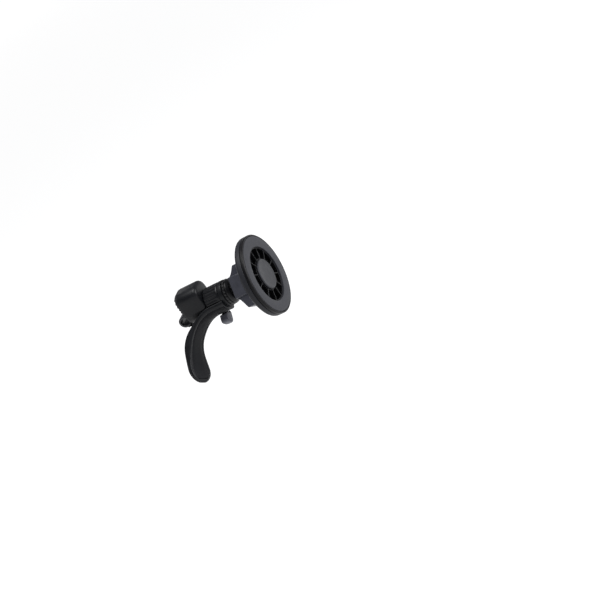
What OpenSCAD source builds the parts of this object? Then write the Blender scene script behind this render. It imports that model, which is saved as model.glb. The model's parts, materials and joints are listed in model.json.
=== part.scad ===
// Magnetic phone mount that hooks onto a car's air vent.
// X is to the driver's right, Y points towards the dash, Z is up.
// The origin is where the clip's axis meets the rear face of the jaw pad.
// Stations along Y are distances behind the phone's face, less face_gap.

/* [Head] */
// Radius of the round magnetic head
head_r = 28; // [27.5:0.1:29]
// Distance from the phone's face to the jaw pad
face_gap = 66; // [66:0.5:68]
// Inner radius of the soft face ring
face_in_r = 19.2; // [18.8:0.1:19.6]
// Outer radius of the soft face ring
face_out_r = 26.6; // [26:0.1:26.7]
// Radius of the hub badge
hub_r = 10.6; // [10.2:0.1:10.7]
// Number of radial vanes round the hub
vane_count = 12; // [8:1:24]
// Magnets in each quarter of the ring
magnets_per_quarter = 3; // [2:1:4]
// Roll of the square boss behind the head
boss_roll = 30; // [0:5:90]

/* [Ball joint] */
// Radius of the ball
ball_r = 5.2; // [5.1:0.05:5.2]
// Running clearance round the ball, its liner and the journals
run_gap = 0.06; // [0.03:0.01:0.1]

/* [Twist knob] */
// Outer radius of the fluted knob
knob_r = 9.2; // [8.9:0.1:9.3]
// Number of grip flutes
flute_count = 24; // [16:2:30]

/* [Clip body] */
// Half width of the clip body
body_hw = 9.5; // [9.25:0.25:11]
// Height of the body's top above the clip's axis
body_top = 15.6; // [14:0.2:17]
// Radius of the body's rounded edges
body_round = 6; // [4:0.5:6.5]
// Wall thickness of the body shell
body_wall = 1.6; // [1.2:0.1:2]

/* [Hook] */
// Width of the hook across the vane
hook_w = 10; // [8:0.5:12]
// Clear height inside the hook
hook_mouth = 5; // [4.8:0.1:5.4]
// Thickness of the hook's metal
hook_t = 1.6; // [1.3:0.1:1.8]

/* [Support leg] */
// Width of the leg
leg_w = 14.8; // [13:0.2:15.6]
// Swing of the leg from straight down, to the driver's left
leg_swing = 44; // [0:2:50]
// Reach of the leg's tip below the axis
leg_reach = 51; // [50:0.2:52]
// Width of the ribbed grip let into the leg
grip_w = 11; // [9:0.5:12]
// Number of ribs across the grip
rib_count = 14; // [8:1:18]

/* [Hidden] */

$fn = 96;
eps = 0.02;
hairline = 0.3;

// Stations behind the phone's face
bezel_end = 2.2;
shell_start = 2.6;
web_front = 1.2;
web_back = 2.0;
magnet_end = 4.0;
yoke_end = 4.8;
shell_seat = 10.8;
boss_front = 13.6;
boss_back = 24.6;
ball_at = 30;
liner_rim = 1.1;
nut_front = 26.6;
nut_back = 31.4;
collar_front = 31.8;
collar_back = 35;
knob_front = 35.2;
knob_back = 46.8;
body_front = 47.2;
flange_front = 60.2;
flange_back = 62.6;
shell_back = 63.3;
plate_back = 64.8;

// Radii
magnet_in_r = 21.6;
magnet_out_r = 25.6;
yoke_out_r = 24.7;
screw_circle_r = 22.8;
carrier_in_r = 19;
vane_out_r = 18.8;
vane_in_r = 10.8;
spigot_r = 5;
boss_hw = 8;
boss_hh = 7.6;
cup_r = 6.9;
journal_r = 7.2;
tube_r = 4.6;
rod_r = 2;
rod_end_r = 1.2;
flange_r = 7;
pin_r = 0.8;
pin_at = 40;
sector_r = 11.3;
sector_in_r = knob_r + 0.35;
body_low_r = 9;
body_low = -5;

// Leg curves in its own plane: distance behind the face, height
leg_front = [[46, -sector_r], [61, -12.4], [67.2, -22.8], [66.8, -40]];
leg_rear = [[46, -sector_in_r], [60, -10.2], [72.6, -18], [71.3, -31]];
leg_tip = [66.5, -leg_reach];
leg_heel = [[70.8, -38], [69.6, -44], [68, -49], [67.4, -leg_reach]];
tip_r = 7;
tip_flare = 0.7;
foot_inset = 1;
flare_from = -30;
flare_to = -42;
leg_steps = 14;
grip_t = 0.8;
sector_front = 34.2;
lever_at = [9.2, -9.2];
lever_eye_r = 1.8;
lever_front = 39.9;
lever_back = 45.3;
cheek_t = 1.2;
lug_gap = 0.1;
hook_at = [70.4, -4.3];
hook_r = hook_mouth / 2 + hook_t;
hook_neck_w = 5;

function bezier(p, t) = pow(1 - t, 3) * p[0] + 3 * t * pow(1 - t, 2) * p[1]
                      + 3 * t * t * (1 - t) * p[2] + pow(t, 3) * p[3];
function slope(p, t) = pow(1 - t, 2) * (p[1] - p[0]) + 2 * t * (1 - t) * (p[2] - p[1])
                     + t * t * (p[3] - p[2]);
function normal(p, t) = let (d = slope(p, t)) [-d[1], d[0]] / norm(d);
function curve(p, depth, from, to) = [for (i = [0:leg_steps])
    let (t = from + (to - from) * i / leg_steps) bezier(p, t) + depth * normal(p, t)];
function flip(list) = [for (i = [len(list) - 1:-1:0]) list[i]];
function ball_arc(r, from, to) = [for (i = [0:8])
    let (y = from + (to - from) * i / 8) [sqrt(r * r - pow(ball_at - y, 2)), y]];

// Places a shape given in distances behind the phone's face
module stations() {
    translate([0, -face_gap, 0]) children();
}

module rod_y(r, from, to) {
    translate([0, from, 0]) rotate([-90, 0, 0]) cylinder(r = r, h = to - from);
}

module ring_y(r_out, r_in, from, to) {
    difference() {
        rod_y(r_out, from, to);
        rod_y(r_in, from - eps, to + eps);
    }
}

// Turns a profile of [radius, distance behind the face] round the clip's axis
module turned(profile) {
    rotate([-90, 0, 0]) rotate_extrude() polygon(profile);
}

// Extrudes a front view, drawn in X and Z, from one station to another
module front_view(from, to) {
    translate([0, to, 0]) rotate([90, 0, 0]) linear_extrude(to - from) children();
}

// Extrudes a side view, drawn in distance behind the face and height, across a width
module side_view(width) {
    translate([-width / 2, 0, 0]) rotate([90, 0, 90]) linear_extrude(width) children();
}

module rounded_rect(x0, z0, x1, z1, r) {
    translate([x0 + r, z0]) square([x1 - x0 - 2 * r, z1 - z0]);
    translate([x0, z0 + r]) square([x1 - x0, z1 - z0 - 2 * r]);
    for (x = [x0 + r, x1 - r], z = [z0 + r, z1 - r]) translate([x, z]) circle(r = r);
}

module at_carrier_screws() {
    for (a = [45:90:315]) rotate([0, a, 0]) translate([screw_circle_r, 0, 0]) children();
}

module at_body_screws() {
    for (p = [[-5.4, 11], [5.4, 11]]) translate([p[0], 0, p[1]]) children();
}

// ---- Head ----

module face_pad() color("#3b3e47") stations() ring_y(face_out_r, face_in_r, 0, web_front);

module bezel() color("#23242a") stations()
    turned([[26.75, 0.5], [27, 0.1], [27.5, 0.1], [head_r, 0.6], [head_r, bezel_end],
            [26.9, bezel_end], [26.9, 1.4], [26.75, 1.4]]);

module magnet_carrier() color("#2b2c31") stations() difference() {
    turned([[carrier_in_r, web_front], [26.7, web_front], [26.7, bezel_end + 0.05], [27.2, bezel_end + 0.05],
            [27.2, shell_start - 0.05], [26, shell_start - 0.05], [26, web_back], [20.6, web_back],
            [20.6, 6.2], [carrier_in_r, 6.2]]);
    at_carrier_screws() rod_y(1.0, 0, web_back + 1);
}

module magnets() color("#b9bcc2") stations() {
    span = 76 / magnets_per_quarter;
    for (q = [0:90:270], i = [0:magnets_per_quarter - 1])
        rotate([0, q + (i + 0.5) * span - 38, 0]) magnet_segment(span - 2.5);
}

module magnet_segment(angle) {
    translate([0, web_back + 0.05, 0]) rotate([-90, -angle / 2, 0])
        rotate_extrude(angle = angle) translate([magnet_in_r, 0])
            square([magnet_out_r - magnet_in_r, magnet_end - web_back - 0.05]);
}

module yoke_ring() color("#8e9298") stations() difference() {
    ring_y(yoke_out_r, 21, magnet_end, yoke_end);
    at_carrier_screws() rod_y(1.5, magnet_end - 1, yoke_end + 1);
}

module vane_ring() color("#0d0d0f") stations() {
    ring_y(vane_out_r, vane_out_r - 0.9, 0.7, 5);
    ring_y(vane_in_r + 0.9, vane_in_r, 0.7, 5);
    ring_y(vane_out_r, vane_in_r, 4.2, 5);
    for (i = [0:vane_count - 1]) rotate([0, i * 360 / vane_count, 0])
        translate([vane_in_r + 0.5, 0.9, -0.35]) cube([vane_out_r - vane_in_r - 1, 3.5, 0.7]);
}

module hub_badge() color("#6d7078") stations() {
    turned([[0, 0], [hub_r - 0.9, 0], [hub_r - 0.3, 0.15], [hub_r, 0.6], [hub_r, 1.8], [0, 1.8]]);
    ring_y(8.1, 6.9, 1.8, 4.6);
}

module back_shell() color("#26272c") stations() {
    difference() {
        turned([[26.4, shell_start], [head_r, shell_start], [head_r, 5.2], [27.6, 6.2], [26.6, 7],
                [24.6, 7.9], [21.5, 8.8], [17.5, 9.8], [13.5, 11], [10.6, 12.2],
                [9.5, boss_front - hairline], [spigot_r + run_gap, boss_front - hairline],
                [spigot_r + run_gap, shell_seat], [9.4, shell_seat], [12.8, 9.6], [17, 8.3], [21, 7.4],
                [24, 6.5], [25.8, 5.7], [26.4, 5]]);
        at_carrier_screws() rod_y(0.9, 4, 6.6);
    }
    ring_y(9.4, 8.2, 1.85, shell_seat);
    at_carrier_screws() ring_y(1.8, 0.9, yoke_end + 0.05, 7.5);
}

module carrier_screws() color("#9a9da3") stations() at_carrier_screws() {
    rod_y(1.75, web_back, web_back + 0.9);
    rod_y(0.9, web_back, 6.5);
}

module spin_washer() color("#b4b7bc") stations() ring_y(6.6, 1.4, shell_seat - 0.85, shell_seat - 0.05);

module spin_screw() color("#9a9da3") stations() difference() {
    union() {
        rod_y(2.8, 8.3, shell_seat - 0.85);
        rod_y(1.35, 8.3, 15.6);
    }
    front_view(8.2, 9.2) for (a = [0, 90]) rotate(a) square([3, 0.7], center = true);
}

// ---- Square boss and ball joint ----

module boss_wing(height, reach) {
    side_view(2 * boss_hw - 2) polygon([[24.2, -boss_hh + 0.5], [22.2, -boss_hh - 0.2 * reach],
        [20.6, -boss_hh - 0.5 * reach], [19.4, -boss_hh - 0.8 * reach], [18.6, -height],
        [12.7, -height], [boss_front, -boss_hh - 2.5], [boss_front, -boss_hh + 0.5]]);
}

module square_boss() color("#4a4c53") stations() rotate([0, boss_roll, 0]) difference() {
    union() {
        front_view(boss_front, boss_back)
            rounded_rect(-boss_hw, -boss_hh, boss_hw, boss_hh, 0.8);
        rod_y(spigot_r, shell_seat - 0.05, boss_front);
        boss_wing(16, 16 - boss_hh);
        mirror([0, 0, 1]) boss_wing(13.9, 13.9 - boss_hh);
    }
    rod_y(1.35, shell_seat - 1, 15.6);
    rod_y(2, 17, boss_back + 1);
}

module ball_stud() color("#c6c8cc") stations() {
    rod_y(2, 17, 26);
    rod_y(2.9, boss_back, 26.4);
    translate([0, ball_at, 0]) sphere(r = ball_r);
}

module cup_liner() color("#d8d6cf") stations() difference() {
    translate([0, ball_at, 0]) sphere(r = ball_r + run_gap + 0.84);
    translate([0, ball_at, 0]) sphere(r = ball_r + run_gap);
    rod_y(8, 20, ball_at + liner_rim);
    rod_y(2.2, ball_at, ball_at + 8);
}

module ball_nut() color("#2c2d33") stations() difference() {
    turned(concat([[5.5, nut_front], [6.8, nut_front], [7.3, 26.9], [8.6, 28.4], [8.6, 28.9],
                   [8.2, 29.1], [8.2, 29.5], [9, 29.7], [9, nut_back],
                   [cup_r + run_gap, nut_back], [cup_r + run_gap, 29.45]],
                  ball_arc(ball_r + run_gap, 29.45, 27.6)));
    for (a = [0:20:340]) rotate([0, a, 0]) translate([9.35, 0, 0]) rod_y(0.7, 29.6, nut_back + 1);
}

// ---- Clip ----

module spindle() color("#303137") stations() difference() {
    turned([[0, ball_at - 0.4], [cup_r, ball_at - 0.4], [cup_r, nut_back + 0.1], [journal_r, nut_back + 0.1],
            [journal_r, 36.6], [tube_r, 36.6], [tube_r, flange_front], [flange_r, flange_front],
            [flange_r, flange_back], [0, flange_back]]);
    translate([0, ball_at, 0]) sphere(r = ball_r + 2 * run_gap + 0.84);
    rod_y(cup_r - 0.6, ball_at - 1, ball_at);
    rod_y(rod_r + run_gap, 37.2, shell_back);
    translate([-pin_r - 0.1, 38.9, -tube_r - 1]) cube([2 * pin_r + 0.2, 8, 2 * tube_r + 2]);
}

module body_section(inset = 0) {
    rounded_rect(-body_hw + inset, body_low + inset, body_hw - inset, body_top - inset, body_round - inset);
    circle(r = body_low_r - inset);
}

module body_shell() color("#5a5c63") stations() {
    difference() {
        union() {
            front_view(body_front, body_front + 0.5) body_section(1.1);
            front_view(body_front + 0.5, body_front + 1.3) body_section(0.4);
            front_view(body_front + 1.3, shell_back) body_section();
        }
        front_view(body_front + 1.8, shell_back + 1) body_section(body_wall);
        rod_y(tube_r + run_gap, body_front - 1, shell_back);
    }
    ring_y(6.3, tube_r + run_gap, body_front + 1, flange_front - 0.05);
    at_body_screws() ring_y(2.2, 0.9, body_front + 1, shell_back);
}

module body_plate() color("#2c2d32") stations() difference() {
    union() {
        front_view(shell_back, plate_back) body_section(0.15);
        ring_y(flange_r, rod_r + 0.3, flange_back + 0.05, shell_back);
    }
    rod_y(rod_r + 0.3, shell_back - 1, plate_back + 1);
    at_body_screws() rod_y(0.9, shell_back - 1, plate_back + 1);
    at_body_screws() rod_y(1.8, plate_back - 0.9, plate_back + 1);
}

module jaw_pad() color("#1b1b1d") stations() difference() {
    front_view(plate_back, face_gap) body_section(0.8);
    rod_y(rod_r + 0.5, plate_back - 1, face_gap + 1);
    for (z = [-5.6:2.2:12]) translate([-body_hw, face_gap, z]) rotate([45, 0, 0])
        cube([2 * body_hw, 0.8, 0.8], center = false);
}

module body_screws() color("#9a9da3") stations() at_body_screws() {
    rod_y(1.7, plate_back - 0.9, plate_back - 0.05);
    rod_y(0.85, 54, plate_back - 0.1);
}

module knob() color("#3a3b41") stations() difference() {
    union() {
        rod_y(knob_r - 0.5, knob_front, knob_back);
        rod_y(knob_r, knob_front + 0.4, knob_back - 0.4);
    }
    rod_y(journal_r + 0.1, knob_front - 1, 37.2);
    rod_y(7, 37.15, knob_back + 1);
    for (i = [0:flute_count - 1]) rotate([0, i * 360 / flute_count, 0])
        translate([knob_r + 0.35, 0, 0]) rod_y(0.75, knob_front + 1.4, knob_back + 1);
}

module knob_core() color("#b08d4a") stations() difference() {
    rod_y(7, 37.2, knob_back);
    rod_y(tube_r + run_gap, 36, knob_back + 1);
    rod_y(5.9, 37.9, 46.4);
}

module hook_rod() color("#c3c5ca") stations() difference() {
    union() {
        rod_y(rod_r, 38.6, 66.2);
        rod_y(rod_end_r, 66, 68.2);
    }
    translate([0, pin_at, -5]) cylinder(r = pin_r, h = 10);
}

module cross_pin() color("#9a9da3") stations() translate([0, pin_at, -5.6]) cylinder(r = pin_r, h = 11.2);

// A round hook, open towards the driver, on a narrow neck that takes the rod's end
module hook() color("#3a3c42") stations() difference() {
    union() {
        side_view(hook_w) difference() {
            hook_outline(hook_r);
            hook_outline(hook_r - hook_t);
            translate([60, hook_at[1] - hook_r - 1]) square([7.2, 2 * hook_r + 2]);
        }
        side_view(hook_neck_w) rounded_rect(66.25, -2.1, 69, 1.9, 0.5);
    }
    rod_y(rod_end_r, 66, 68.25);
}

module hook_outline(r) {
    translate(hook_at) circle(r = r);
    translate([60, hook_at[1] - r]) square([hook_at[0] - 60, 2 * r]);
}

module hook_sleeve() color("#17171a") stations() side_view(hook_w + 0.6) difference() {
    translate([66.5, hook_at[1] - hook_r - 0.4]) square([3.4, hook_t + 0.6]);
    translate([67.2, hook_at[1] - hook_r]) square([4, hook_t]);
}

// ---- Support leg ----

module leg_frame() {
    stations() rotate([0, leg_swing, 0]) children();
}

// Strip between two depths behind the leg's front face, round the arch and down the leg
module grip_sector(width, r_out, r_in) {
    intersection() {
        ring_y(r_out, r_in, 36.4, 47.2);
        translate([-width / 2, 30, -sector_r - 1]) cube([width, 20, sector_r]);
    }
}

module leg_profile() {
    polygon(concat(curve(leg_front, 0, 0, 1), [leg_tip], flip(leg_heel), flip(curve(leg_rear, 0, 0, 1))));
}

// Front view of the leg less an inset all round, with a flared and rounded end
module paddle(inset) {
    half = leg_w / 2 - inset;
    wide = half + tip_flare;
    low = -leg_reach + inset;
    front_view(30, 80) {
        polygon([[-half, 0], [-half, flare_from], [-wide, flare_to], [wide, flare_to], [half, flare_from],
                 [half, 0]]);
        rounded_rect(-wide, low, wide, flare_to + tip_r, tip_r - inset);
        translate([-wide, low + tip_r]) square([2 * wide, flare_to - low - tip_r]);
    }
}

module grip_strip(width, depth) {
    side_view(width) polygon(concat(curve(leg_front, 0, 0, 1), flip(curve(leg_front, depth, 0, 1))));
}

module leg() color("#45474e") leg_frame() {
    ring_y(knob_r, journal_r + run_gap, collar_front, collar_back);
    difference() {
        union() {
            intersection() {
                union() {
                    ring_y(sector_r, sector_in_r, sector_front, 48);
                    ring_y(sector_r, knob_r - 0.5, sector_front, collar_back);
                }
                translate([-leg_w / 2, 30, -sector_r - 1]) cube([leg_w, 20, sector_r]);
            }
            intersection() {
                side_view(leg_w + 2 * tip_flare) leg_profile();
                paddle(0);
            }
            lever_lug(lever_front + cheek_t + lug_gap, lever_back - cheek_t - lug_gap);
        }
        grip_sector(grip_w, sector_r + 1, sector_r - grip_t);
        grip_strip(grip_w, grip_t);
        foot_shape();
        translate([lever_at[0], 0, lever_at[1]]) rod_y(1, 37, 49);
    }
}

module lever_lug(from, to) {
    front_view(from, to) difference() {
        union() {
            translate(lever_at) circle(r = lever_eye_r);
            translate([6.2, -9.6]) square([2.6, 3]);
        }
        circle(r = sector_in_r);
    }
}

module leg_grip() color("#1d1e21") leg_frame() difference() {
    union() {
        grip_sector(grip_w, sector_r, sector_r - grip_t);
        grip_strip(grip_w, grip_t);
    }
    for (i = [0:5]) ring_groove(37.6 + 1.7 * i);
    for (i = [0:rib_count - 1]) let (t = 0.08 + 0.8 * i / rib_count, p = bezier(leg_front, t))
        translate([-grip_w, p[0], p[1]]) rotate([45, 0, 0]) cube([2 * grip_w, 0.5, 0.5]);
}

module ring_groove(at) {
    ring_y(sector_r + 1, sector_r - 0.35, at, at + 0.6);
}

module foot_shape() {
    intersection() {
        side_view(leg_w) polygon([[72, -34], [69.9, -34], [69.6, -38], [68.3, -44], [67.2, -48.6],
                                  [72, -48.6]]);
        paddle(foot_inset);
    }
}

module foot_pad() color("#141416") leg_frame() intersection() {
    foot_shape();
    side_view(leg_w + 2 * tip_flare) leg_profile();
}

module lever_pin() color("#9a9da3") leg_frame()
    translate([lever_at[0], 0, lever_at[1]]) rod_y(1, lever_front, lever_back);

// A fork whose cheeks stand on both sides of the leg's lug
module lock_lever() color("#6b6e76") leg_frame() difference() {
    front_view(lever_front, lever_back) difference() {
        union() {
            translate(lever_at) circle(r = lever_eye_r);
            rounded_rect(4, -16.8, 12, -8.2, 2.2);
        }
        circle(r = sector_r + hairline);
    }
    translate([lever_at[0], 0, lever_at[1]]) rod_y(1 + run_gap, lever_front - 1, lever_back + 1);
    front_view(lever_front + cheek_t, lever_back - cheek_t) {
        translate(lever_at) circle(r = lever_eye_r + hairline);
        translate([lever_at[0] - 3.2, lever_at[1] - 0.7]) square([6.5, 3.2]);
    }
}

face_pad();
bezel();
magnet_carrier();
magnets();
yoke_ring();
vane_ring();
hub_badge();
back_shell();
carrier_screws();
spin_washer();
spin_screw();
square_boss();
ball_stud();
cup_liner();
ball_nut();
spindle();
body_shell();
body_plate();
jaw_pad();
body_screws();
knob();
knob_core();
hook_rod();
cross_pin();
hook();
hook_sleeve();
leg();
leg_grip();
foot_pad();
lever_pin();
lock_lever();
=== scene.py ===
import json
import math

import bmesh
import bpy
from mathutils import Matrix, Vector


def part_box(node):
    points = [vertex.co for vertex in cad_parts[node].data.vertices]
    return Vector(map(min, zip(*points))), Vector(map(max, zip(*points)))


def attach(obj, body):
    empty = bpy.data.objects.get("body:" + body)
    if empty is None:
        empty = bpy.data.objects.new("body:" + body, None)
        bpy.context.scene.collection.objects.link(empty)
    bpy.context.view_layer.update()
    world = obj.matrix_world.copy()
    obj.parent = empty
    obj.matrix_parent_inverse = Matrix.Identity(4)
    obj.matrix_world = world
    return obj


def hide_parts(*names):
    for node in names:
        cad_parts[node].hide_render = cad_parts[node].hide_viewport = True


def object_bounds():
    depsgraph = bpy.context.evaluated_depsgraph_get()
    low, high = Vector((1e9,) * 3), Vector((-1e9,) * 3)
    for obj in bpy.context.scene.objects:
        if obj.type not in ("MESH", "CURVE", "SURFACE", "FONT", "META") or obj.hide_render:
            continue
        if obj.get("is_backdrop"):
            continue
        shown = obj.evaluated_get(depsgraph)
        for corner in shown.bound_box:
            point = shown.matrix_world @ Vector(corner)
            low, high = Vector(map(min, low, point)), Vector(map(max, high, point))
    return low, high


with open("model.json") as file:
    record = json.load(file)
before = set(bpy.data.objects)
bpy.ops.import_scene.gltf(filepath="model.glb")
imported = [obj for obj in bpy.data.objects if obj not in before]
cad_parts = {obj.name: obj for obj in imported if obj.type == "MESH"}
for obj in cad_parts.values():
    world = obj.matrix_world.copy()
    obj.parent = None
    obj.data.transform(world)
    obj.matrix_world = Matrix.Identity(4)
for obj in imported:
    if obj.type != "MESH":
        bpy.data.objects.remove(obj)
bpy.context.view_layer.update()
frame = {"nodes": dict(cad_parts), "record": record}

# ---- Frame ----
# Shapes are written in millimetres: x across the mount, s the distance behind the phone's face, z up.
MM = 0.001
FACE_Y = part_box("face_pad")[0].y


def place(x, s, z):
    return Vector((x * MM, FACE_Y + s * MM, z * MM))


def span(node):
    """Front and rear of a node, as distances behind the phone's face."""
    low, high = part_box(node)
    return (low.y - FACE_Y) / MM, (high.y - FACE_Y) / MM


def reach(node):
    """Half the width of a node that is centred on the clip's axis."""
    low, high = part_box(node)
    return (high.x - low.x) / 2 / MM


# The round head.
HEAD_R = reach("bezel")
FACE_R = reach("face_pad")
HUB_R = reach("hub_badge")
VANES = 12
VANE_OUT_R = reach("vane_ring")
VANE_IN_R = 10.8
CARRIER_IN_R = 19

# The square boss, the ball and its nut.
BOSS_ROLL = math.radians(30)
BOSS_HW = 8
BOSS_HH = 7.6
BOSS_FRONT = 13.6
BOSS_REAR = 24.6
BOSS_NECK_R = 5.0
LOW_WING = 16
HIGH_WING = 13.9
BALL_R = reach("ball_stud")
BALL_AT = span("ball_stud")[1] - BALL_R
BALL_GAP = 0.06
NUT_R = reach("ball_nut")
NUT_NOTCHES = 18

# The clip's body, its rear plate, its pad and the knob.
BODY_HW = reach("body_shell")
BODY_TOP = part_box("body_shell")[1].z / MM
BODY_LOW = -5
BODY_LOW_R = 9
BODY_ROUND = 6
PLATE_FRONT = 63.32
LOWEST_RIB = -6.7
RIB_PITCH = 2.2
RIB_HALF = 0.55
KNOB_R = reach("knob")
KNOB_FLUTES = 24

# The hook for the vent's vane.
HOOK_AT = (70.4, -4.3)
HOOK_BEND_R = 3.3
HOOK_HW = reach("hook")
HOOK_T = 1.6

# The leg, and the lock lever on its lug.
LEG_SWING = math.radians(44)
LEG_W = 14.8
LEG_REACH = 51
SECTOR_R = 11.3
SECTOR_IN_R = KNOB_R + 0.35
COLLAR_FRONT = 31.8
COLLAR_REAR = 35.0
COLLAR_IN_R = 7.26
GRIP_T = 0.8
LEVER_EYE = (9.2, -9.2)
LEVER_EYE_R = 1.8
LUG_FRONT = 41.2
LUG_REAR = 44.0


# ---- Mesh making ----

def turned_by(angle, p):
    """A point in a piece's own upright view, swung about the clip's axis."""
    x, s, z = p
    return (x * math.cos(angle) + z * math.sin(angle), s, z * math.cos(angle) - x * math.sin(angle))


def make_piece(name, verts, faces, smooth_angle=32):
    mesh = bpy.data.meshes.new(name)
    mesh.from_pydata([place(*v) for v in verts], [], faces)
    work = bmesh.new()
    work.from_mesh(mesh)
    bmesh.ops.remove_doubles(work, verts=work.verts, dist=1e-7)
    bmesh.ops.recalc_face_normals(work, faces=work.faces)
    limit = math.radians(smooth_angle)
    for face in work.faces:
        face.smooth = True
    for edge in work.edges:
        edge.smooth = len(edge.link_faces) == 2 and edge.calc_face_angle(0) < limit
    work.to_mesh(mesh)
    work.free()
    piece = bpy.data.objects.new(name, mesh)
    bpy.context.scene.collection.objects.link(piece)
    return piece


def loft(rings, closed=False):
    """Vertices and faces of a skin over rings with the same number of points, capped unless closed."""
    count = len(rings[0])
    verts = [p for ring in rings for p in ring]
    faces = []
    last = len(rings) if closed else len(rings) - 1
    for i in range(last):
        a = i * count
        b = ((i + 1) % len(rings)) * count
        for j in range(count):
            k = (j + 1) % count
            faces.append((a + j, a + k, b + k, b + j))
    if not closed:
        faces.append(tuple(range(count)))
        faces.append(tuple(range(len(verts) - count, len(verts))))
    return verts, faces


def add(shape, other):
    """Two shapes as one."""
    verts, faces = shape
    start = len(verts)
    return verts + other[0], faces + [tuple(i + start for i in f) for f in other[1]]


def softened(points, radius, steps=4, closed=True):
    """The outline with each corner turned into an arc. radius is one number, or one for each corner."""
    count = len(points)
    radii = radius if isinstance(radius, (list, tuple)) else [radius] * count
    out = []
    for i in range(count):
        p = Vector(points[i])
        if radii[i] <= 0 or (not closed and i in (0, count - 1)):
            out.append(tuple(p))
            continue
        back = Vector(points[i - 1]) - p
        ahead = Vector(points[(i + 1) % count]) - p
        angle = back.angle(ahead)
        if angle > math.pi - 0.02:
            out.append(tuple(p))
            continue
        cut = min(radii[i] / math.tan(angle / 2), back.length * 0.45, ahead.length * 0.45)
        a = p + back.normalized() * cut
        b = p + ahead.normalized() * cut
        for k in range(steps + 1):
            t = k / steps
            out.append(tuple(a * (1 - t) ** 2 + p * 2 * t * (1 - t) + b * t ** 2))
    return out


def turned(profile, steps=120, ripple=None):
    """A profile of (radius, distance) turned round the clip's axis. ripple adds to the radius."""
    rings = []
    for i in range(steps):
        angle = 2 * math.pi * i / steps
        ring = []
        for r, s in profile:
            radius = r + (ripple(r, s, angle) if ripple else 0)
            ring.append((radius * math.sin(angle), s, radius * math.cos(angle)))
        rings.append(ring)
    return loft(rings, closed=True)


def inset(outline, depth):
    """An outline moved inwards."""
    count = len(outline)
    area = sum(outline[i][0] * outline[(i + 1) % count][1] - outline[(i + 1) % count][0] * outline[i][1]
               for i in range(count))
    side = 1 if area > 0 else -1
    moved = []
    for i in range(count):
        a = Vector(outline[i - 1])
        p = Vector(outline[i])
        b = Vector(outline[(i + 1) % count])
        n1 = Vector((-(p - a).y, (p - a).x)).normalized() * side
        n2 = Vector((-(b - p).y, (b - p).x)).normalized() * side
        n = n1 + n2
        if n.length < 1e-6:
            n = n1
        n.normalize()
        moved.append(tuple(p + n * depth / max(0.5, n.dot(n1))))
    return moved


def edge_steps(front, rear, front_edge, rear_edge, steps=4):
    """Stations and insets that round both ends of an extrusion."""
    angles = [math.pi / 2 * k / steps for k in range(steps + 1)]
    steps_in = [(1 - math.sin(a), 1 - math.cos(a)) for a in angles]
    first = [(front + front_edge * along, front_edge * inwards) for along, inwards in reversed(steps_in)]
    last = [(rear - rear_edge * along, rear_edge * inwards) for along, inwards in steps_in]
    return first + last


def along_axis(outline, front, rear, front_edge, rear_edge, swing=0.0):
    """A front view of (x, z) points run from front to rear, with rounded ends."""
    rings = []
    for s, d in edge_steps(front, rear, front_edge, rear_edge):
        shape = inset(outline, d) if d > 0 else outline
        rings.append([turned_by(swing, (x, s, z)) for x, z in shape])
    return loft(rings)


def across(outline, half, edge, swing=0.0):
    """A side view of (s, z) points run across the mount, with rounded sides."""
    rings = []
    for x, d in edge_steps(-half, half, edge, edge):
        shape = inset(outline, d) if d > 0 else outline
        rings.append([turned_by(swing, (x, s, z)) for s, z in shape])
    return loft(rings)


def in_body(x, z):
    """Whether a point lies inside the clip body's outline."""
    if x * x + z * z <= BODY_LOW_R ** 2:
        return True
    dx = max(abs(x) - (BODY_HW - BODY_ROUND), 0)
    middle = (BODY_TOP + BODY_LOW) / 2
    dz = max(abs(z - middle) - ((BODY_TOP - BODY_LOW) / 2 - BODY_ROUND), 0)
    return dx * dx + dz * dz <= BODY_ROUND ** 2


def body_outline(steps=160):
    """The clip body's outline, met along rays from the axis."""
    points = []
    for i in range(steps):
        a = 2 * math.pi * i / steps
        near = 0.0
        far = 30.0
        for _ in range(30):
            middle = (near + far) / 2
            if in_body(middle * math.cos(a), middle * math.sin(a)):
                near = middle
            else:
                far = middle
        points.append((near * math.cos(a), near * math.sin(a)))
    for _ in range(3):
        spread = [Vector(point) for point in points]
        points = [tuple((spread[i - 1] + spread[i] * 2 + spread[(i + 1) % steps]) / 4) for i in range(steps)]
    return points


def bezier(p, t):
    a, b, c, d = (Vector(q) for q in p)
    return a * (1 - t) ** 3 + b * 3 * t * (1 - t) ** 2 + c * 3 * t * t * (1 - t) + d * t ** 3


# ---- Materials ----
# Real sizes of the surface patterns, in millimetres.
MOULD_FLOW = 9
SPARK_TEXTURE = 0.16
# Width of the painted highlight along sharp edges.
EDGE_HIGHLIGHT_WIDTH = 0.35
SILICONE_BLOOM = 6
SILICONE_TEXTURE = 0.22
DUST_SPECK = 0.35
PLATE_PATCH = 1.1
ORANGE_PEEL = 0.9
BEAD_BLAST = 0.12
ANODISE_CLOUD = 5

DUST = "#8d9099"
NOISE_MIDDLE = {"From Min": 0.3, "From Max": 0.7}


def linear(code):
    """Linear colour from an sRGB hex value."""
    values = [int(code[i:i + 2], 16) / 255 for i in (1, 3, 5)]
    return tuple(v / 12.92 if v <= 0.04045 else ((v + 0.055) / 1.055) ** 2.4 for v in values) + (1.0,)


def node(tree, kind, values=None, links=None, **settings):
    """Adds a node with its settings, its input values and its incoming links."""
    made = tree.nodes.new(kind)
    for key, value in settings.items():
        setattr(made, key, value)
    for key, value in (values or {}).items():
        made.inputs[key].default_value = value
    for key, source in (links or {}).items():
        tree.links.new(source, made.inputs[key])
    return made


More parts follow.
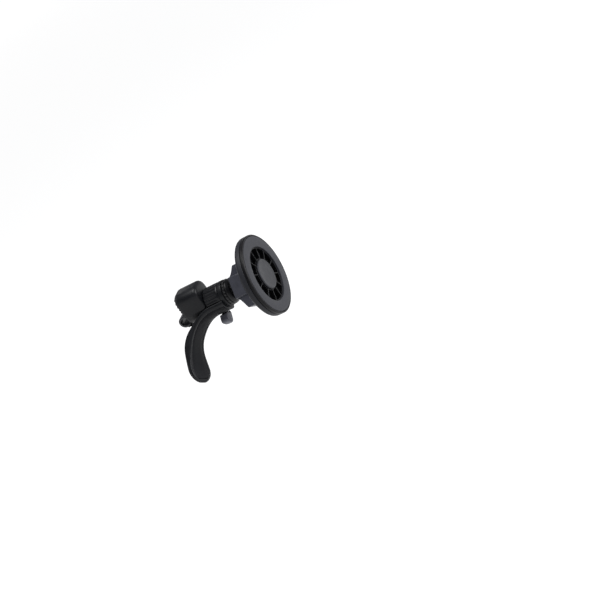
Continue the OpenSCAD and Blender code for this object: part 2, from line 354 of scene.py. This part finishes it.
def shader(name, rough, metallic=0.0, ior=1.5, coat=0.0, coat_rough=0.1, sheen=0.0, gloss=0.5):
    """A new material and its main shader, with what is the same all over set on its own sockets."""
    made = bpy.data.materials.new(name)
    made.use_nodes = True
    tree = made.node_tree
    main = tree.nodes["Principled BSDF"]
    main.inputs["Roughness"].default_value = rough
    main.inputs["Metallic"].default_value = metallic
    main.inputs["IOR"].default_value = ior
    main.inputs["Specular IOR Level"].default_value = gloss
    main.inputs["Coat Weight"].default_value = coat
    main.inputs["Coat Roughness"].default_value = coat_rough
    main.inputs["Sheen Weight"].default_value = sheen
    return made, tree, main


def grain(tree, size_mm, detail=2.0):
    """A pattern of 0 to 1 values in the object's own place, whose cells are about size_mm across."""
    where = node(tree, "ShaderNodeTexCoord")
    return node(tree, "ShaderNodeTexNoise", {"Scale": 1 / (size_mm * MM), "Detail": detail},
                {"Vector": where.outputs["Object"]}).outputs["Fac"]


def shaded(tree, pattern, dark, light):
    """A colour that drifts from dark to light with a pattern."""
    share = node(tree, "ShaderNodeMapRange", NOISE_MIDDLE, {"Value": pattern})
    return node(tree, "ShaderNodeMix", {6: linear(dark), 7: linear(light)}, {0: share.outputs["Result"]},
                data_type="RGBA").outputs[2]


def painted_edge_highlight(tree, colour, edge_hex):
    """Lightens a colour where the surface turns a sharp corner: a painted highlight along the edges."""
    bevel = node(tree, "ShaderNodeBevel", {"Radius": EDGE_HIGHLIGHT_WIDTH * MM}, samples=6)
    plain = node(tree, "ShaderNodeNewGeometry")
    same = node(tree, "ShaderNodeVectorMath", {}, {0: bevel.outputs["Normal"], 1: plain.outputs["Normal"]},
                operation="DOT_PRODUCT")
    limits = {"From Min": 0.98, "From Max": 0.80, "To Min": 0.0, "To Max": 0.55}
    edge = node(tree, "ShaderNodeMapRange", limits, {"Value": same.outputs["Value"]})
    return node(tree, "ShaderNodeMix", {7: linear(edge_hex)}, {0: edge.outputs["Result"], 6: colour},
                data_type="RGBA").outputs[2]


def dusty(tree, colour):
    """Scatters a few pale specks over a colour."""
    limits = {"From Min": 0.68, "From Max": 0.8, "To Min": 0.0, "To Max": 0.03}
    share = node(tree, "ShaderNodeMapRange", limits, {"Value": grain(tree, DUST_SPECK, 1.0)})
    return node(tree, "ShaderNodeMix", {7: linear(DUST)}, {0: share.outputs["Result"], 6: colour},
                data_type="RGBA").outputs[2]


def surface(tree, main, colour, patches, smooth, dull, texture, depth_mm):
    """Joins a colour to the shader, with a gloss that follows patches and a texture of a real depth."""
    limits = {**NOISE_MIDDLE, "To Min": smooth, "To Max": dull}
    rough = node(tree, "ShaderNodeMapRange", limits, {"Value": patches})
    relief = node(tree, "ShaderNodeBump", {"Distance": depth_mm * MM}, {"Height": texture})
    tree.links.new(colour, main.inputs["Base Color"])
    tree.links.new(rough.outputs["Result"], main.inputs["Roughness"])
    tree.links.new(relief.outputs["Normal"], main.inputs["Normal"])


def moulded_abs(name, dark, light, rough, edge=None, gloss=0.3):
    """Injection-moulded ABS: fine spark-eroded texture, uneven gloss, edges painted a little lighter as a
    painted highlight.
    """
    made, tree, main = shader(name, rough, gloss=gloss)
    flow = grain(tree, MOULD_FLOW)
    colour = shaded(tree, flow, dark, light)
    # Sharp edges get a lighter colour: a painted highlight.
    if edge:
        colour = painted_edge_highlight(tree, colour, edge)
    surface(tree, main, colour, flow, rough - 0.05, rough + 0.06, grain(tree, SPARK_TEXTURE), 0.012)
    return made


def soft_silicone(name, dark, light, rough, gloss=0.22):
    """Moulded silicone rubber: dull, with a faint bloom and a little dust that catches the light."""
    made, tree, main = shader(name, rough, ior=1.43, sheen=0.03, gloss=gloss)
    bloom = grain(tree, SILICONE_BLOOM, 4.0)
    colour = dusty(tree, shaded(tree, bloom, dark, light))
    surface(tree, main, colour, bloom, rough - 0.06, rough + 0.08, grain(tree, SILICONE_TEXTURE), 0.015)
    return made


def plated_metal(name, dark, light, rough):
    """Plated or machined metal: bright, with fine uneven patches that break up each highlight."""
    made, tree, main = shader(name, rough, metallic=1.0)
    patch = grain(tree, PLATE_PATCH)
    surface(tree, main, shaded(tree, patch, dark, light), patch, rough * 0.8, rough * 1.3, patch, 0.006)
    return made


def coated_steel(name, dark, light, rough):
    """Steel under black electro-coat: a smooth hard gloss with a slight orange peel."""
    made, tree, main = shader(name, rough, coat=0.15, coat_rough=0.2, gloss=0.45)
    peel = grain(tree, ORANGE_PEEL)
    surface(tree, main, shaded(tree, peel, dark, light), peel, rough - 0.04, rough + 0.06, peel, 0.01)
    return made


def anodised_disc(name, dark, light, rough):
    """Bead-blasted and anodised aluminium: grey, very fine sparkle, no direction."""
    made, tree, main = shader(name, rough, metallic=0.75)
    blast = grain(tree, BEAD_BLAST)
    cloud = grain(tree, ANODISE_CLOUD)
    surface(tree, main, shaded(tree, blast, dark, light), cloud, rough - 0.05, rough + 0.06, blast, 0.010)
    return made


# The finish of each material slot.
# A moulded plastic's colour after its roughness, where given, is the painted highlight on its sharp edges.
FINISHES = {
    "face_silicone": soft_silicone("face_silicone", "#212227", "#28292e", 0.52),
    "bezel_plastic": moulded_abs("bezel_abs", "#070709", "#0b0b0e", 0.4, "#16171b", gloss=0.16),
    "shell_plastic": moulded_abs("shell_satin_abs", "#1a1b1f", "#202126", 0.48, "#2b2d33", gloss=0.22),
    "carrier_plastic": moulded_abs("carrier_abs", "#101114", "#17181b", 0.5),
    "magnet_nickel": plated_metal("nickel_plate", "#b7b9bd", "#d3d5d8", 0.2),
    "yoke_steel": plated_metal("zinc_plated_steel", "#85888d", "#a6a9ae", 0.38),
    "vane_plastic": moulded_abs("vane_black_abs", "#040405", "#070709", 0.34, "#36383f", gloss=0.2),
    "badge_metal": anodised_disc("badge_anodised_aluminium", "#2a2b2f", "#333438", 0.44),
    "screw_steel": plated_metal("screw_steel", "#8b8e93", "#adb0b5", 0.3),
    "boss_plastic": moulded_abs("boss_satin_abs", "#34353c", "#3d3e46", 0.36, "#6b6e77", gloss=0.35),
    "ball_coated": coated_steel("ball_coated_steel", "#0a0a0c", "#0e0e11", 0.3),
    "liner_nylon": moulded_abs("liner_nylon", "#d3d0c6", "#e4e1d9", 0.4),
    "nut_plastic": moulded_abs("nut_black_abs", "#070709", "#0b0b0e", 0.32, "#1c1d22"),
    "spindle_plastic": moulded_abs("spindle_acetal", "#111215", "#17181c", 0.42),
    "body_plastic": moulded_abs("body_satin_abs", "#0e0f12", "#131417", 0.38, "#24262b", gloss=0.2),
    "pad_rubber": soft_silicone("pad_rubber", "#0e0f12", "#131417", 0.5, gloss=0.12),
    "knob_plastic": moulded_abs("knob_satin_abs", "#0d0e11", "#121316", 0.34, "#2b2d33", gloss=0.22),
    "core_brass": plated_metal("core_brass", "#a9854a", "#c7a465", 0.28),
    "rod_steel": plated_metal("rod_steel", "#a4a7ac", "#c6c9cd", 0.26),
    "hook_steel": coated_steel("hook_coated_steel", "#18191d", "#202126", 0.3),
    "leg_plastic": moulded_abs("leg_satin_abs", "#0d0e11", "#121316", 0.36, "#363840", gloss=0.22),
    "lever_plastic": moulded_abs("lever_satin_abs", "#4b4c55", "#56575f", 0.4, "#7d8089"),
}


def dress(piece, slot, body, *nodes):
    """Gives a piece its finish and its body, and hides the CAD nodes that it stands for."""
    piece.data.materials.clear()
    piece.data.materials.append(FINISHES[slot])
    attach(piece, body)
    if nodes:
        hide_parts(*nodes)
    return piece


def dress_cad_nodes():
    """Every CAD node gets the finish of its own slot; the hidden ones keep it too."""
    slots = {p["node"]: p["material_slot"] for p in frame["record"]["subparts"]}
    for name, piece in frame["nodes"].items():
        piece.data.materials.clear()
        piece.data.materials.append(FINISHES[slots[name]])


# ---- Head ----

def face_ring():
    front, rear = span("face_pad")
    hole = CARRIER_IN_R + 0.2
    profile = softened([(hole, front), (FACE_R, front), (FACE_R, rear), (hole, rear)], [0.35, 0.2, 0, 0])
    dress(make_piece("face_ring_silicone", *turned(profile, 180)), "face_silicone", "head", "face_pad")


def bezel_band():
    front, rear = span("bezel")
    profile = softened([(26.7, 0.45), (27.0, front), (27.45, front), (HEAD_R, front + 0.55),
                        (HEAD_R, rear - 0.1), (HEAD_R - 0.12, rear), (26.9, rear), (26.9, 1.4),
                        (26.75, 1.4)],
                       [0, 0.12, 0.12, 0.3, 0.05, 0.05, 0, 0, 0])
    dress(make_piece("bezel_band", *turned(profile, 180)), "bezel_plastic", "head", "bezel")


def vane_wheel():
    """The dark well round the hub, with straight radial vanes whose lips are rounded."""
    front, rear = span("vane_ring")
    floor_at = rear - 0.8
    outer = softened([(VANE_OUT_R - 0.35, front + 0.4), (VANE_OUT_R, front + 0.4), (VANE_OUT_R, rear),
                      (VANE_IN_R, rear), (VANE_IN_R, front + 0.8), (VANE_IN_R + 0.4, front + 0.8),
                      (VANE_IN_R + 0.4, floor_at), (VANE_OUT_R - 0.35, floor_at)],
                     [0.1, 0.1, 0, 0, 0.1, 0.1, 0.4, 0.4])
    shape = turned(outer, 120)
    for i in range(VANES):
        shape = add(shape, vane(2 * math.pi * i / VANES, front + 0.15, floor_at + 0.2))
    dress(make_piece("vane_wheel", *shape), "vane_plastic", "head", "vane_ring")


def vane(angle, lip, rear):
    """One straight vane with a rounded lip."""
    half = 0.25
    section = softened([(-half, rear), (-half, lip), (half, lip), (half, rear)], [0, 0.3, 0.3, 0], 3)
    radii = (VANE_IN_R + 0.2, VANE_OUT_R - 0.2)
    return loft([[turned_by(angle, (aside, s, r)) for aside, s in section] for r in radii])


def badge():
    """A shallow turned dish with a bright chamfer and no mark."""
    front, rear = span("hub_badge")
    profile = [(0, front + 0.25), (HUB_R * 0.5, front + 0.2), (HUB_R - 1.6, front + 0.1),
               (HUB_R - 1.0, front)]
    profile += softened([(HUB_R - 0.9, front), (HUB_R - 0.35, front + 0.12), (HUB_R, front + 0.6),
                         (HUB_R, front + 1.8), (8.1, front + 1.8), (8.1, rear), (0, rear)],
                        [0.1, 0.2, 0.2, 0.1, 0, 0, 0], closed=False)
    dress(make_piece("badge_disc", *turned(profile, 144)), "badge_metal", "head", "hub_badge")


def dome():
    """The back shell: a satin rim band, then a shallow dome down to the swivel collar."""
    front, seat = span("back_shell")
    outer = [(26.4, 2.6), (HEAD_R - 0.15, 2.6), (HEAD_R, 2.75), (HEAD_R, 5.2), (27.6, 6.2), (26.6, 7.0),
             (24.6, 7.9), (21.5, 8.8), (17.5, 9.8), (13.5, 11), (10.6, 12.2), (9.5, seat)]
    inner = [(5.2, seat), (5.2, 10.8), (8.2, 10.8), (8.2, front), (9.4, front), (9.4, 10.75), (12.8, 9.6),
             (17, 8.3), (21, 7.4), (24, 6.5), (25.8, 5.7), (26.4, 5)]
    radii = [0, 0.15, 0.1, 0.8] + [1.2] * 7 + [0.2] + [0] * len(inner)
    shape = turned(softened(outer + inner, radii), 180)
    dress(make_piece("back_shell_dome", *shape, smooth_angle=40), "shell_plastic", "head", "back_shell")


# ---- Boss, ball and nut ----

def wing(height):
    """A flared wing on one side of the square boss, hollowed towards the ball."""
    up = BOSS_HH
    far = height - up
    outline = [(24.4, up - 0.6), (23.2, up + 0.06 * far), (22.0, up + 0.22 * far), (20.7, up + 0.5 * far),
               (19.5, up + 0.8 * far), (18.6, height), (12.8, height), (13.6, up + 2.5), (13.6, up - 0.6)]
    return softened(outline, [0, 1.5, 1.5, 1.5, 1.2, 0.25, 0.4, 0.5, 0], 3)


def boss():
    """The square boss: a block with a wing above and below, and a neck into the swivel collar."""
    w, h = BOSS_HW, BOSS_HH
    block = softened([(-w, -h), (w, -h), (w, h), (-w, h)], 1.0, 5)
    shape = along_axis(block, BOSS_FRONT, BOSS_REAR, 0.2, 0.7, BOSS_ROLL)
    for height, side in ((LOW_WING, -1), (HIGH_WING, 1)):
        outline = [(s, side * z) for s, z in wing(height)]
        shape = add(shape, across(outline, BOSS_HW - 1, 0.45, BOSS_ROLL))
    neck = [(0, 10.75), (BOSS_NECK_R, 10.75), (BOSS_NECK_R, BOSS_FRONT + 0.3), (0, BOSS_FRONT + 0.3)]
    shape = add(shape, turned(neck, 72))
    dress(make_piece("square_boss_block", *shape, smooth_angle=38), "boss_plastic", "boss", "square_boss")


def nut():
    """The ball's nut: a cone over the ball, then a rim with finger notches."""
    front, rear = span("ball_nut")
    ball = BALL_R + BALL_GAP
    outer = [(5.5, front), (6.8, front), (7.3, front + 0.3), (8.6, 28.4), (8.6, 28.9), (8.2, 29.1),
             (8.2, 29.5), (NUT_R, 29.7), (NUT_R, rear), (6.96, rear), (6.96, 29.45)]
    inner = [(math.sqrt(ball ** 2 - (BALL_AT - s) ** 2), s) for s in (29.45, 29.0, 28.5, 28.0, 27.6)]
    radii = [0.2, 0.2, 0.5, 0.35, 0.15, 0.1, 0.1, 0.3, 0.3, 0, 0] + [0] * len(inner)
    profile = softened(outer + inner, radii, 5)

    def notch(r, s, angle):
        if r < NUT_R - 0.5 or s < 29.6:
            return 0
        wave = 0.5 + 0.5 * math.cos(angle * NUT_NOTCHES)
        return -0.35 * wave ** 4

    piece = make_piece("ball_nut_ring", *turned(profile, 288, notch), smooth_angle=40)
    dress(piece, "nut_plastic", "nut", "ball_nut")


# ---- Clip ----

def body_case():
    front, rear = span("body_shell")
    shape = along_axis(body_outline(), front, rear, 2.8, 0.1)
    dress(make_piece("body_case", *shape, smooth_angle=35), "body_plastic", "clip", "body_shell")


def rear_plate():
    rear = span("body_plate")[1]
    shape = along_axis(inset(body_outline(), 0.15), PLATE_FRONT, rear, 0.12, 0.25)
    dress(make_piece("rear_plate", *shape), "spindle_plastic", "clip", "body_plate")


def jaw_rubber():
    """The jaw pad: a moulded rubber slab whose rear face has cross ribs."""
    front, rear = span("jaw_pad")
    outline = inset(body_outline(), 0.8)
    shape = along_axis(outline, front, rear - 0.62, 0.05, 0.15)
    high = max(z for _, z in outline)
    foot = rear - 0.75
    at = LOWEST_RIB
    while at < high - 1:
        half = min(half_width(outline, at - RIB_HALF), half_width(outline, at + RIB_HALF)) - 0.25
        bar = [(foot, at - RIB_HALF - 0.2), (rear, at - RIB_HALF), (rear, at + RIB_HALF),
               (foot, at + RIB_HALF + 0.2)]
        shape = add(shape, across(softened(bar, [0, 0.3, 0.3, 0], 3), half, 0.3))
        at += RIB_PITCH
    dress(make_piece("jaw_rubber", *shape), "pad_rubber", "clip", "jaw_pad")


def half_width(outline, z):
    """Half the width of an outline at a height."""
    best = 0.0
    count = len(outline)
    for i in range(count):
        a = outline[i]
        b = outline[(i + 1) % count]
        if (a[1] - z) * (b[1] - z) <= 0 and a[1] != b[1]:
            t = (z - a[1]) / (b[1] - a[1])
            best = max(best, a[0] + t * (b[0] - a[0]))
    return best


def twist_knob():
    """The knob, smooth at its front edge and fluted behind it."""
    front, rear = span("knob")
    outer = softened([(7.35, front), (KNOB_R - 0.15, front), (KNOB_R, front + 0.8), (KNOB_R, rear - 0.5),
                      (KNOB_R - 0.4, rear), (7.05, rear), (7.05, 37.2), (7.35, 37.2)],
                     [0.1, 0.35, 0.3, 0.2, 0.2, 0, 0, 0], 5)

    def flute(r, s, angle):
        if r < KNOB_R - 0.7 or s < front + 1.3:
            return 0
        rise = min(1, (s - front - 1.3) / 0.9)
        wave = 0.5 + 0.5 * math.cos(angle * KNOB_FLUTES)
        return -0.42 * rise * wave ** 2

    profile = []
    for i, (r, s) in enumerate(outer):
        profile.append((r, s))
        if outer[(i + 1) % len(outer)][1] - s > 3:
            profile += [(KNOB_R, front + 1.3 + 0.12 * k) for k in range(9)]
    piece = make_piece("twist_knob", *turned(profile, 288, flute), smooth_angle=45)
    dress(piece, "knob_plastic", "knob", "knob")


def hook_path():
    """The hook's middle line, from its lower lip round the back to its upper leg."""
    cx, cz = HOOK_AT
    mid = HOOK_BEND_R
    points = [(67.2, cz - mid), (68.8, cz - mid)]
    for k in range(17):
        a = -math.pi / 2 + math.pi * k / 16
        points.append((cx + mid * math.cos(a), cz + mid * math.sin(a)))
    points += [(68.8, cz + mid), (67.2, cz + mid)]
    return points


def strip_rings(path, half, thick, edge):
    """Rings of a strip of rounded section bent along a side-view path."""
    rings = []
    deep = thick / 2
    section = softened([(-half, -deep), (half, -deep), (half, deep), (-half, deep)], edge, 3)
    count = len(path)
    for i in range(count):
        a = Vector(path[max(0, i - 1)])
        b = Vector(path[min(count - 1, i + 1)])
        along = (b - a).normalized()
        out = Vector((along.y, -along.x))
        rings.append([(x, path[i][0] + out.x * d, path[i][1] + out.y * d) for x, d in section])
    return rings


def vane_hook():
    """The hook, with its neck into the body and the rubber sleeve on its lower lip."""
    shape = loft(strip_rings(hook_path(), HOOK_HW, HOOK_T, 0.5))
    neck = softened([(66.25, -2.1), (69, -2.1), (69, 1.9), (66.25, 1.9)], 0.5, 4)
    shape = add(shape, across(neck, 2.5, 0.4))
    dress(make_piece("vane_hook", *shape, smooth_angle=40), "hook_steel", "hook", "hook")
    low = HOOK_AT[1] - HOOK_BEND_R - HOOK_T / 2
    sleeve = softened([(66.5, low - 0.4), (69.9, low - 0.4), (69.9, low), (67.2, low), (67.2, low + HOOK_T),
                       (66.5, low + HOOK_T + 0.2)], [0.3, 0.3, 0, 0, 0.2, 0.3], 3)
    piece = make_piece("hook_lip_sleeve", *across(sleeve, HOOK_HW + 0.3, 0.3))
    dress(piece, "pad_rubber", "hook", "hook_sleeve")


# ---- Leg ----
# Each curve is in the leg's own plane: distance behind the face, height.
SECTOR_FRONT = 34.3
SECTOR_REAR = 46
LEG_FRONT = [(SECTOR_REAR, -SECTOR_R), (61, -12.4), (67.2, -22.8), (66.8, -40)]
LEG_REAR = [(SECTOR_REAR, -SECTOR_IN_R), (60, -10.2), (72.6, -18), (71.3, -31)]
TIP_FRONT = [(66.8, -40), (66.6, -45.5), (66.3, -49.8), (67.9, -50.9)]
TIP_REAR = [(71.3, -31), (70.8, -38), (69.9, -47), (68.3, -50.5)]
LIP_W = 1.9
MORPH_END = 0.5
FLARE_FROM = -30
FLARE_LENGTH = 12
FLARE = 0.7
TIP_ROUND = 9
TIP_DRAW = 7.4
RECESS_END = -49.2
GRIP_END = -48.4
GRIP_START = 1.1
TWIST = math.radians(17)
TWIST_FROM = -20
TWIST_LENGTH = 22
TWIST_AXIS = 68.6


def leg_stations(steps=60):
    """Front and rear points down the leg, with how much of the collar's arc the section still has."""
    out = []
    root_steps = 16
    tip_steps = 48
    for k in range(root_steps):
        s = SECTOR_FRONT + (SECTOR_REAR - SECTOR_FRONT) * k / root_steps
        out.append((Vector((s, -SECTOR_R)), Vector((s, -SECTOR_IN_R)), 1.0))
    for k in range(steps + 1):
        t = k / steps
        m = min(1, t / MORPH_END)
        arc = 1 - m * m * (3 - 2 * m)
        out.append((bezier(LEG_FRONT, t), bezier(LEG_REAR, t), arc))
    for k in range(1, tip_steps + 1):
        t = 1 - (1 - k / tip_steps) ** 2.2
        out.append((bezier(TIP_FRONT, t), bezier(TIP_REAR, t), 0.0))
    return out


def on_leg(x, s, z):
    """A point in the leg's own plane, put in place: the tip's face is twisted a little outwards."""
    share = max(0.0, min(1.0, (TWIST_FROM - z) / TWIST_LENGTH))
    angle = TWIST * share * share * (3 - 2 * share)
    depth = s - TWIST_AXIS
    turned_x = x * math.cos(angle) + depth * math.sin(angle)
    turned_s = TWIST_AXIS + depth * math.cos(angle) - x * math.sin(angle)
    return turned_by(LEG_SWING, (turned_x, turned_s, z))


def half_leg(z):
    """Half the leg's width at a height: straight, flared, then rounded off."""
    half = LEG_W / 2
    if z > FLARE_FROM:
        return half
    wide = half + FLARE * min(1, (FLARE_FROM - z) / FLARE_LENGTH)
    centre = -LEG_REACH + TIP_ROUND
    if z < centre:
        drop = min(1, (centre - z) / TIP_ROUND)
        wide -= TIP_DRAW * (1 - math.sqrt(max(0, 1 - drop * drop)))
    return wide


def bowed(u, z, arc, radius):
    """A point across the section, lifted onto the collar's arc near the root."""
    x = u * half_leg(z)
    return x, z + arc * (radius - math.sqrt(max(0, radius * radius - x * x)))


def recess(front, thick):
    """Depth of the channel for the grip: it runs out just before the root and the tip."""
    root = max(0.0, min(1.0, (front.x - SECTOR_FRONT - 0.5) / 0.5))
    tip = max(0.0, min(1.0, (front.y - RECESS_END) / 0.8))
    return min(GRIP_T, thick * 0.45) * min(root, tip)


def leg_section(front, rear, arc):
    """One closed ring: front face with its recess, rounded sides, rear face."""
    thick = (rear - front).length
    into = (rear - front).normalized()
    side = half_leg(front.y)
    lip = max(side - LIP_W, side * 0.3) / side
    edge = min(0.9, thick * 0.45, side * 0.15)
    depth = recess(front, thick)
    trim = edge / side
    corner = [(1 - trim, 0), (1 - 0.4 * trim, 0.12 * edge), (1 - 0.12 * trim, 0.45 * edge), (1, edge)]
    channel = [(lip * 0.5, depth), (lip, depth), (lip, 0.4 * depth), (lip + 0.05 / side, 0.15 * depth),
               (lip + 0.25 / side, 0)]
    right_front = [(0, depth)] + channel + corner
    across_front = [(-u, d) for u, d in reversed(right_front[1:])] + right_front
    right_rear = [(0, 0), (0.5, 0)] + [(u, -d) for u, d in corner]
    across_rear = list(reversed(right_rear)) + [(-u, d) for u, d in right_rear[1:]]
    ring = []
    for u, d in across_front:
        p = front + into * d
        x, z = bowed(u, p.y, arc, SECTOR_R - d * arc)
        ring.append(on_leg(x, p.x, z))
    for u, d in across_rear:
        p = rear + into * d
        x, z = bowed(u, p.y, arc, SECTOR_IN_R - d * arc)
        ring.append(on_leg(x, p.x, z))
    return ring


def leg_beam():
    """The leg: an arched shell round the knob that flattens and curves down to a rounded tip."""
    shape = loft([leg_section(*station) for station in leg_stations()])
    collar = softened([(COLLAR_IN_R, COLLAR_FRONT), (KNOB_R, COLLAR_FRONT), (KNOB_R, COLLAR_REAR),
                       (COLLAR_IN_R, COLLAR_REAR)], [0.2, 0.35, 0.35, 0.2], 5)
    shape = add(shape, turned(collar, 144))
    start = SECTOR_FRONT + 0.05
    low_r = KNOB_R - 0.5
    high_r = SECTOR_R - 0.2
    web = [(low_r, start), (high_r, start), (high_r, COLLAR_REAR), (low_r, COLLAR_REAR)]
    rings = []
    half = math.asin(LEG_W / 2 / SECTOR_R)
    for k in range(25):
        a = math.pi - half + 2 * half * k / 24 + LEG_SWING
        rings.append([(r * math.sin(a), s, r * math.cos(a)) for r, s in web])
    shape = add(shape, loft(rings))
    angles = [math.radians(d) for d in range(-150, 61, 15)]
    x0, z0 = LEVER_EYE
    eye = [(x0 + LEVER_EYE_R * math.cos(a), z0 + LEVER_EYE_R * math.sin(a)) for a in angles]
    lug = eye + [(7.2, -7.6), (6.4, -8.6)]
    shape = add(shape, along_axis(lug, LUG_FRONT, LUG_REAR, 0.25, 0.25, LEG_SWING))
    dress(make_piece("leg_beam", *shape, smooth_angle=38), "leg_plastic", "leg", "leg")


def grip_inlay():
    """The rubber inlay in the leg's front, with fine cross ribs down from the collar."""
    pitch = 0.85
    lift = 0.2
    stations = leg_stations(150)
    fine = []
    for i in range(len(stations) - 1):
        a, b = stations[i], stations[i + 1]
        steps = max(1, round((b[0] - a[0]).length / 0.2))
        for k in range(steps):
            t = k / steps
            fine.append((a[0].lerp(b[0], t), a[1].lerp(b[1], t), a[2] + (b[2] - a[2]) * t))
    rings = []
    run = 0.0
    before = fine[0][0]
    for front, rear, arc in fine:
        run += (front - before).length
        before = front
        if front.y < GRIP_END or run < GRIP_START:
            continue
        into = (rear - front).normalized()
        into = Vector((0, 1)).lerp(into, 1 - arc).normalized()
        thick = (rear - front).length
        bottom = min(GRIP_T, thick * 0.45)
        wave = 0.5 + 0.5 * math.cos(2 * math.pi * run / pitch)
        fade = max(0.0, min(1.0, (front.y + 24) / 8))
        top = 0.1 + lift * fade * (1 - wave) ** 2
        half = half_leg(front.y) - LIP_W - 0.06
        ring = []
        for x, d in ((-half, bottom), (-half, top + 0.15), (-half + 0.15, top), (-half / 2, top), (0, top),
                     (half / 2, top), (half - 0.15, top), (half, top + 0.15), (half, bottom)):
            p = front + into * min(d, bottom)
            _, z = bowed(x / half_leg(p.y), p.y, arc, SECTOR_R - d * arc)
            ring.append(on_leg(x, p.x, z))
        rings.append(ring)
    dress(make_piece("grip_inlay", *loft(rings), smooth_angle=50), "pad_rubber", "leg", "leg_grip")


def foot_rubber():
    """A thin rubber foot on the back of the leg's tip."""
    outline = softened([(71.6, -33.2), (70.9, -37.6), (69.75, -43.8), (68.2, -48.4), (67.6, -48.0),
                        (69.0, -43.5), (70.0, -38), (70.7, -33.6)], [0.3, 1, 1, 0.3, 0.1, 1, 1, 0.1], 3)
    rings = []
    for x, d in edge_steps(-1, 1, 0.12, 0.12, 4):
        ring = []
        for s, z in inset(outline, d * 1.5) if d > 0 else outline:
            width = half_leg(z) - 1.2
            ring.append(on_leg(x * width, s, z))
        rings.append(ring)
    dress(make_piece("foot_rubber", *loft(rings)), "pad_rubber", "leg", "foot_pad")


def lever_outline(cheek):
    """The lever's front view: a broad paddle, and on the cheeks the eye above it that holds the pin."""
    if cheek:
        points = [(4.0, -11.15), (5.5, -10.5), (6.9, -9.6), (8.3, -8.35), (9.4, -7.6), (10.6, -7.9),
                  (12.0, -8.9), (12.0, -16.8), (4.0, -16.8)]
        return softened(points, [0.5, 1, 1, 0.8, 0.6, 0.8, 1.6, 3.2, 2.8], 6)
    points = [(4.0, -11.25), (5.5, -11.45), (12.0, -11.45), (12.0, -16.8), (4.0, -16.8)]
    return softened(points, [0.5, 0.5, 0.2, 3.2, 2.8], 6)


def lever_fork():
    """The lock lever: two cheeks on the pin, joined below by the paddle that a thumb flips."""
    front, rear = span("lock_lever")
    cheek = 1.2
    shape = along_axis(lever_outline(True), front, front + cheek, 0.8, 0.02, LEG_SWING)
    shape = add(shape, along_axis(lever_outline(False), front + cheek, rear - cheek, 0.02, 0.02, LEG_SWING))
    shape = add(shape, along_axis(lever_outline(True), rear - cheek, rear, 0.02, 0.5, LEG_SWING))
    dress(make_piece("lever_fork", *shape, smooth_angle=40), "lever_plastic", "lever", "lock_lever")


# ---- Room ----

def floor():
    """A wide pale floor with a low rim, so that it meets no dark horizon."""
    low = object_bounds()[0].z - 0.02
    wide = 12.0
    rim = 2.6
    count = 64
    turn = [2 * math.pi * i / count for i in range(count)]
    verts = [(wide * math.cos(a), wide * math.sin(a), low) for a in turn]
    verts += [(x, y, low + rim) for x, y, _ in verts]
    faces = [tuple(range(count))]
    faces += [(i, (i + 1) % count, count + (i + 1) % count, count + i) for i in range(count)]
    mesh = bpy.data.meshes.new("floor")
    mesh.from_pydata(verts, [], faces)
    pale = bpy.data.objects.new("floor", mesh)
    bpy.context.scene.collection.objects.link(pale)
    made, tree, main = shader("pale_floor", 0.9, gloss=0.1)
    main.inputs["Base Color"].default_value = linear("#6c6c6e")
    main.inputs["Emission Color"].default_value = linear("#ffffff")
    main.inputs["Emission Strength"].default_value = 0.93
    mesh.materials.append(made)
    pale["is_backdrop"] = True


def light(name, place_at, size, power):
    """A soft white panel that faces the mount."""
    data = bpy.data.lights.new(name, "AREA")
    data.shape = "RECTANGLE"
    data.size, data.size_y = size
    data.energy = power
    lamp = bpy.data.objects.new(name, data)
    lamp.location = place_at
    mount_middle = Vector((0, -0.033, 0))
    lamp.rotation_euler = (mount_middle - Vector(place_at)).to_track_quat("-Z", "Y").to_euler()
    bpy.context.scene.collection.objects.link(lamp)


def studio():
    bpy.context.scene.view_settings.view_transform = "Standard"
    world = bpy.data.worlds.new("studio")
    world.use_nodes = True
    sky = world.node_tree.nodes["Background"]
    sky.inputs["Color"].default_value = (0.93, 0.95, 1.0, 1)
    sky.inputs["Strength"].default_value = 0.2
    bpy.context.scene.world = world
    light("front", (0.05, -0.8, 0.3), (0.5, 0.5), 9)
    light("top", (-0.02, -0.03, 0.7), (0.5, 0.4), 5)


def camera():
    """The camera stands to the driver's left and a little above, rolled so that the mount leans."""
    right = Vector((0.1699, -0.8293, -0.5323))
    up = Vector((0.5204, -0.3832, 0.7631))
    back = Vector((-0.8368, -0.4067, 0.3665))
    position = (-0.5971, -0.3645, 0.2345)
    data = bpy.data.cameras.new("camera")
    data.lens = 64.95
    data.sensor_width = 36
    data.clip_start = 0.01
    cam = bpy.data.objects.new("camera", data)
    turn = Matrix((right, up, back)).transposed().to_4x4()
    cam.matrix_world = Matrix.Translation(position) @ turn
    bpy.context.scene.collection.objects.link(cam)
    bpy.context.scene.camera = cam


dress_cad_nodes()
face_ring()
bezel_band()
vane_wheel()
badge()
dome()
boss()
nut()
body_case()
rear_plate()
jaw_rubber()
twist_knob()
vane_hook()
leg_beam()
grip_inlay()
foot_rubber()
lever_fork()
floor()
studio()
camera()
